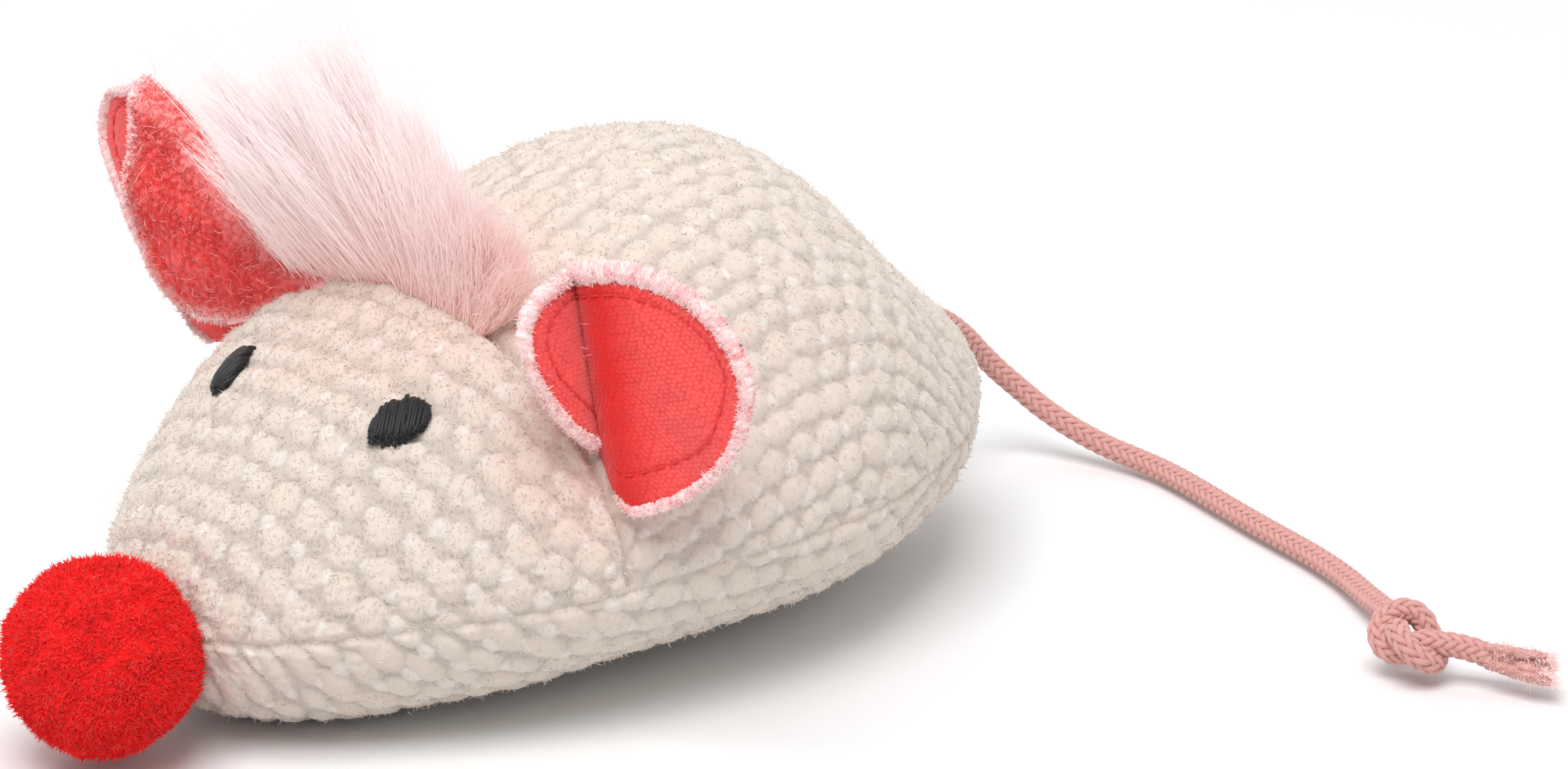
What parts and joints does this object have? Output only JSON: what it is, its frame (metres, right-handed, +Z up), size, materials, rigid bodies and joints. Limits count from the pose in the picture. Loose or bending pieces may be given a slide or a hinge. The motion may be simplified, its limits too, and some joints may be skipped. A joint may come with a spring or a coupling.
{
  "type": "stuffed toy mouse with a pull-cord unit",
  "caption": "Sewn plush toy mouse with pompom nose, lined ears, hair tuft and a knotted cord tail that winds up a spring-driven shaker inside.",
  "frame": {"origin": "on the floor, at the middle of the toy's box without its cord tail", "axes": "+X from the nose to the tail, along the toy's longest extent; +Z up; the mouse's left side is -Y"},
  "size_m": [0.1604, 0.1582, 0.075],
  "materials": {
    "knit": "cream chunky waffle knit",
    "coral": "coral brushed twill ear lining",
    "fleece": "pale pink fleece ear back",
    "fur": "long pale pink faux fur",
    "thread": "black satin-stitch embroidery thread",
    "yarn": "dense red pompom yarn",
    "braid": "pink braided cotton cord",
    "fibre": "white polyester fibre filling",
    "moulding": "white nylon",
    "housing": "grey moulded plastic",
    "cover": "grey moulded plastic, lighter",
    "gears": "cream acetal",
    "drum": "black acetal",
    "steel": "bright steel",
    "spring_steel": "blued spring steel",
    "brass": "plain brass"
  },
  "bodies": {
    "shell": {"head_panel": "knit", "back_panel": "knit", "base_panel": "knit", "hair_tuft": "fur", "left_eye": "thread", "right_eye": "thread", "nose_pompom": "yarn", "nose_tie": "yarn", "cord_guide": "moulding", "head_stuffing": "fibre", "body_stuffing": "fibre", "housing_base": "housing", "housing_cover": "cover", "housing_screw_1": "steel", "housing_screw_2": "steel", "housing_screw_3": "steel", "housing_screw_4": "steel", "drum_axle": "steel"},
    "left_ear": {"left_ear_lining": "coral", "left_ear_back": "fleece"},
    "right_ear": {"right_ear_lining": "coral", "right_ear_back": "fleece"},
    "tail": {"tail_cord": "braid", "tail_knot": "braid", "tail_end": "braid"},
    "drum": {"cord_drum": "drum", "drum_gear": "gears", "cord_winding": "braid", "mainspring": "spring_steel"},
    "second_arbor": {"second_axle": "steel", "second_pinion": "gears", "second_wheel": "gears"},
    "rotor": {"rotor_axle": "steel", "rotor_pinion": "gears", "eccentric_weight": "brass"}
  },
  "joints": [
    {"name": "drum_spin", "type": "hinge", "parent": "shell", "child": "drum", "pos_m": [0.019, 0.0095, 0.022], "axis": [0, 0, 1], "range_deg": [0, 228], "stiffness_Nm_per_rad": 0.004},
    {"name": "tail_pull", "type": "slide", "parent": "shell", "child": "tail", "axis": [1, 0, 0], "range_m": [0, 0.038]},
    {"name": "second_arbor_spin", "type": "hinge", "parent": "shell", "child": "second_arbor", "pos_m": [0.00864, -0.0005, 0.022], "axis": [0, 0, 1], "range_deg": [-685, 0]},
    {"name": "rotor_spin", "type": "hinge", "parent": "shell", "child": "rotor", "pos_m": [0.01884, -0.00791, 0.022], "axis": [0, 0, 1], "range_deg": [0, 1711]},
    {"name": "left_ear_flop", "type": "hinge", "parent": "shell", "child": "left_ear", "pos_m": [-0.0105, -0.0282, 0.0359], "axis": [0, 0.7529, 0.6581], "range_deg": [-20, 20], "stiffness_Nm_per_rad": 0.004},
    {"name": "right_ear_flop", "type": "hinge", "parent": "shell", "child": "right_ear", "pos_m": [-0.0105, 0.0282, 0.0359], "axis": [0, -0.7529, 0.6581], "range_deg": [-20, 20], "stiffness_Nm_per_rad": 0.004}
  ],
  "couplings": [
    {"joint": "tail_pull", "follows": "drum_spin", "m_per_rad": 0.0095},
    {"joint": "second_arbor_spin", "follows": "drum_spin", "ratio": -3},
    {"joint": "rotor_spin", "follows": "drum_spin", "ratio": 7.5}
  ]
}
